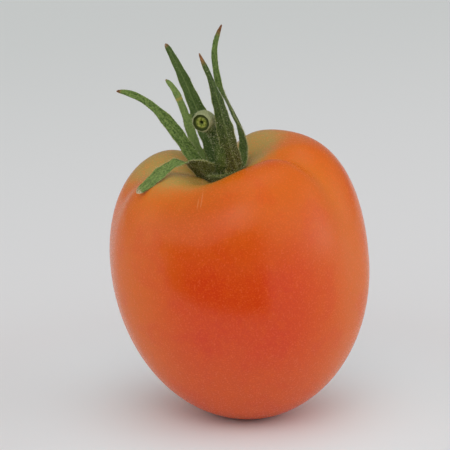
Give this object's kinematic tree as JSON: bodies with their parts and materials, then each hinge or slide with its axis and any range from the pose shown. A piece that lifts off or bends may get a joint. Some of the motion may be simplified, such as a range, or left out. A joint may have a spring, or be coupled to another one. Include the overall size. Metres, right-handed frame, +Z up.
{
  "type": "tomato",
  "caption": "Ripe egg-shaped tomato with lobed shoulders, green calyx of long curling sepals and a short bent stem stub.",
  "frame": {"origin": "middle of the flat spot at the blossom end that the tomato rests on", "axes": "+Z up through the stem end, -Y the side that the picture shows, +X to that view's right"},
  "size_m": [0.0605, 0.0586, 0.092],
  "materials": {
    "tomato_skin": "satin natural skin, orange-red, olive round the stem end",
    "sepal_green": "matt, finely hairy green leaf with brown dry tips",
    "stem_green": "matt, hairy green stalk with a cut end"
  },
  "bodies": {
    "root": {"fruit": "tomato_skin", "calyx": "sepal_green", "stem": "stem_green"}
  },
  "joints": []
}
